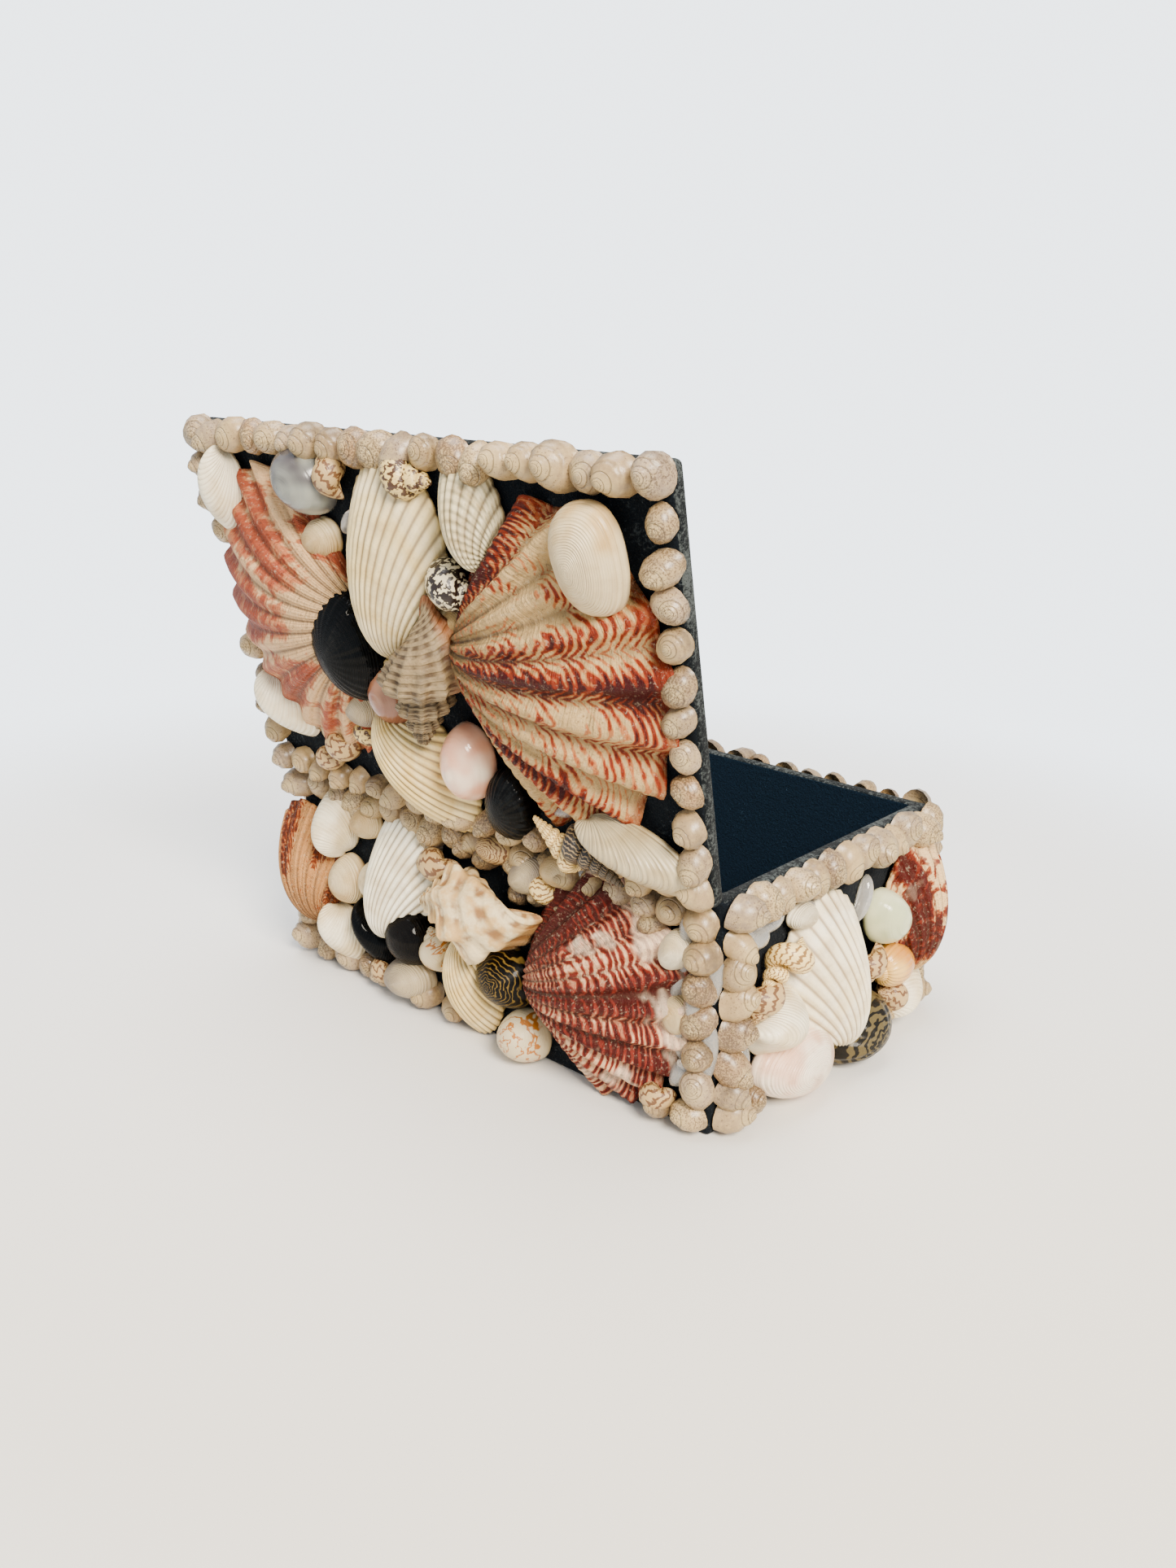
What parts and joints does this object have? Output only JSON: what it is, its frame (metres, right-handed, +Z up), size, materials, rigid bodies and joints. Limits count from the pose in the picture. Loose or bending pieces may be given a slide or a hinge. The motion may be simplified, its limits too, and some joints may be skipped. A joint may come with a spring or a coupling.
{
  "type": "shell box",
  "caption": "Velvet-lined trinket box with a hinged lid, covered in glued sea shells and edged with strings of small snail shells.",
  "frame": {"origin": "centre of the box's flat underside", "axes": "+X along the hinge, to the right seen from the front, +Y from the front to the hinge side, +Z up"},
  "size_m": [0.1899, 0.1636, 0.1676],
  "materials": {
    "velvet": "short matt pile, rubbed grey along the edges",
    "bead": "satin shell",
    "scallop": "satin ribbed shell, rust rays on cream",
    "ivory": "satin shell",
    "white": "satin shell",
    "pink": "glossy shell",
    "black": "glossy shell",
    "striped": "satin shell with dark and tan stripes",
    "speckled": "satin shell with dark specks"
  },
  "bodies": {
    "box": {"box_tray": "velvet", "front_edge_shells": "bead", "front_whelk": "striped", "front_clam_black": "black", "front_ark_left": "ivory", "front_ark_right": "white", "front_scallop_left": "scallop", "front_scallop_right": "scallop", "front_clam_low": "pink", "right_edge_shells": "bead", "right_cockle": "ivory", "right_nerite": "speckled", "right_scallop": "scallop", "right_clam": "white", "back_edge_shells": "bead", "back_rock_snail": "ivory", "back_nerite_gold": "striped", "back_cowrie_black": "black", "back_clam_white": "white", "back_ark_white": "white", "back_mussel_black": "black", "back_shell_cream": "ivory", "back_clam_low": "white", "back_pebble_shell": "white", "back_ark_cream": "ivory", "back_snail_orange": "white", "back_scallop_large": "scallop", "back_scallop_far": "scallop", "hinge_cloth": "velvet", "left_edge_shells": "bead", "left_clam_oval": "ivory", "left_clam_pink": "pink", "left_nerite_dark": "striped", "left_cockle": "white", "left_moon_green": "white", "left_clam_white": "white", "left_scallop": "scallop"},
    "lid": {"lid_edge_shells": "bead", "lid_whelk": "striped", "lid_clam_cream": "ivory", "lid_clam_long": "ivory", "lid_snail_dashed": "speckled", "lid_cockle_white": "white", "lid_ark_large": "ivory", "lid_nerite_speckled": "speckled", "lid_spire_white": "white", "lid_spire_dark": "striped", "lid_cowrie_pink": "pink", "lid_ark_lower": "ivory", "lid_nerite_black": "black", "lid_cowrie_salmon": "pink", "lid_moon_shell": "white", "lid_shell_pale": "white", "lid_mussel_black": "black", "lid_clam_corner": "white", "lid_clam_side": "white", "lid_scallop_large": "scallop", "lid_scallop_far": "scallop", "lid_board": "velvet"}
  },
  "joints": [
    {"name": "lid_hinge", "type": "hinge", "parent": "box", "child": "lid", "pos_m": [0, 0.053, 0.06415], "axis": [1, 0, 0], "range_deg": [0, 104.5]}
  ]
}
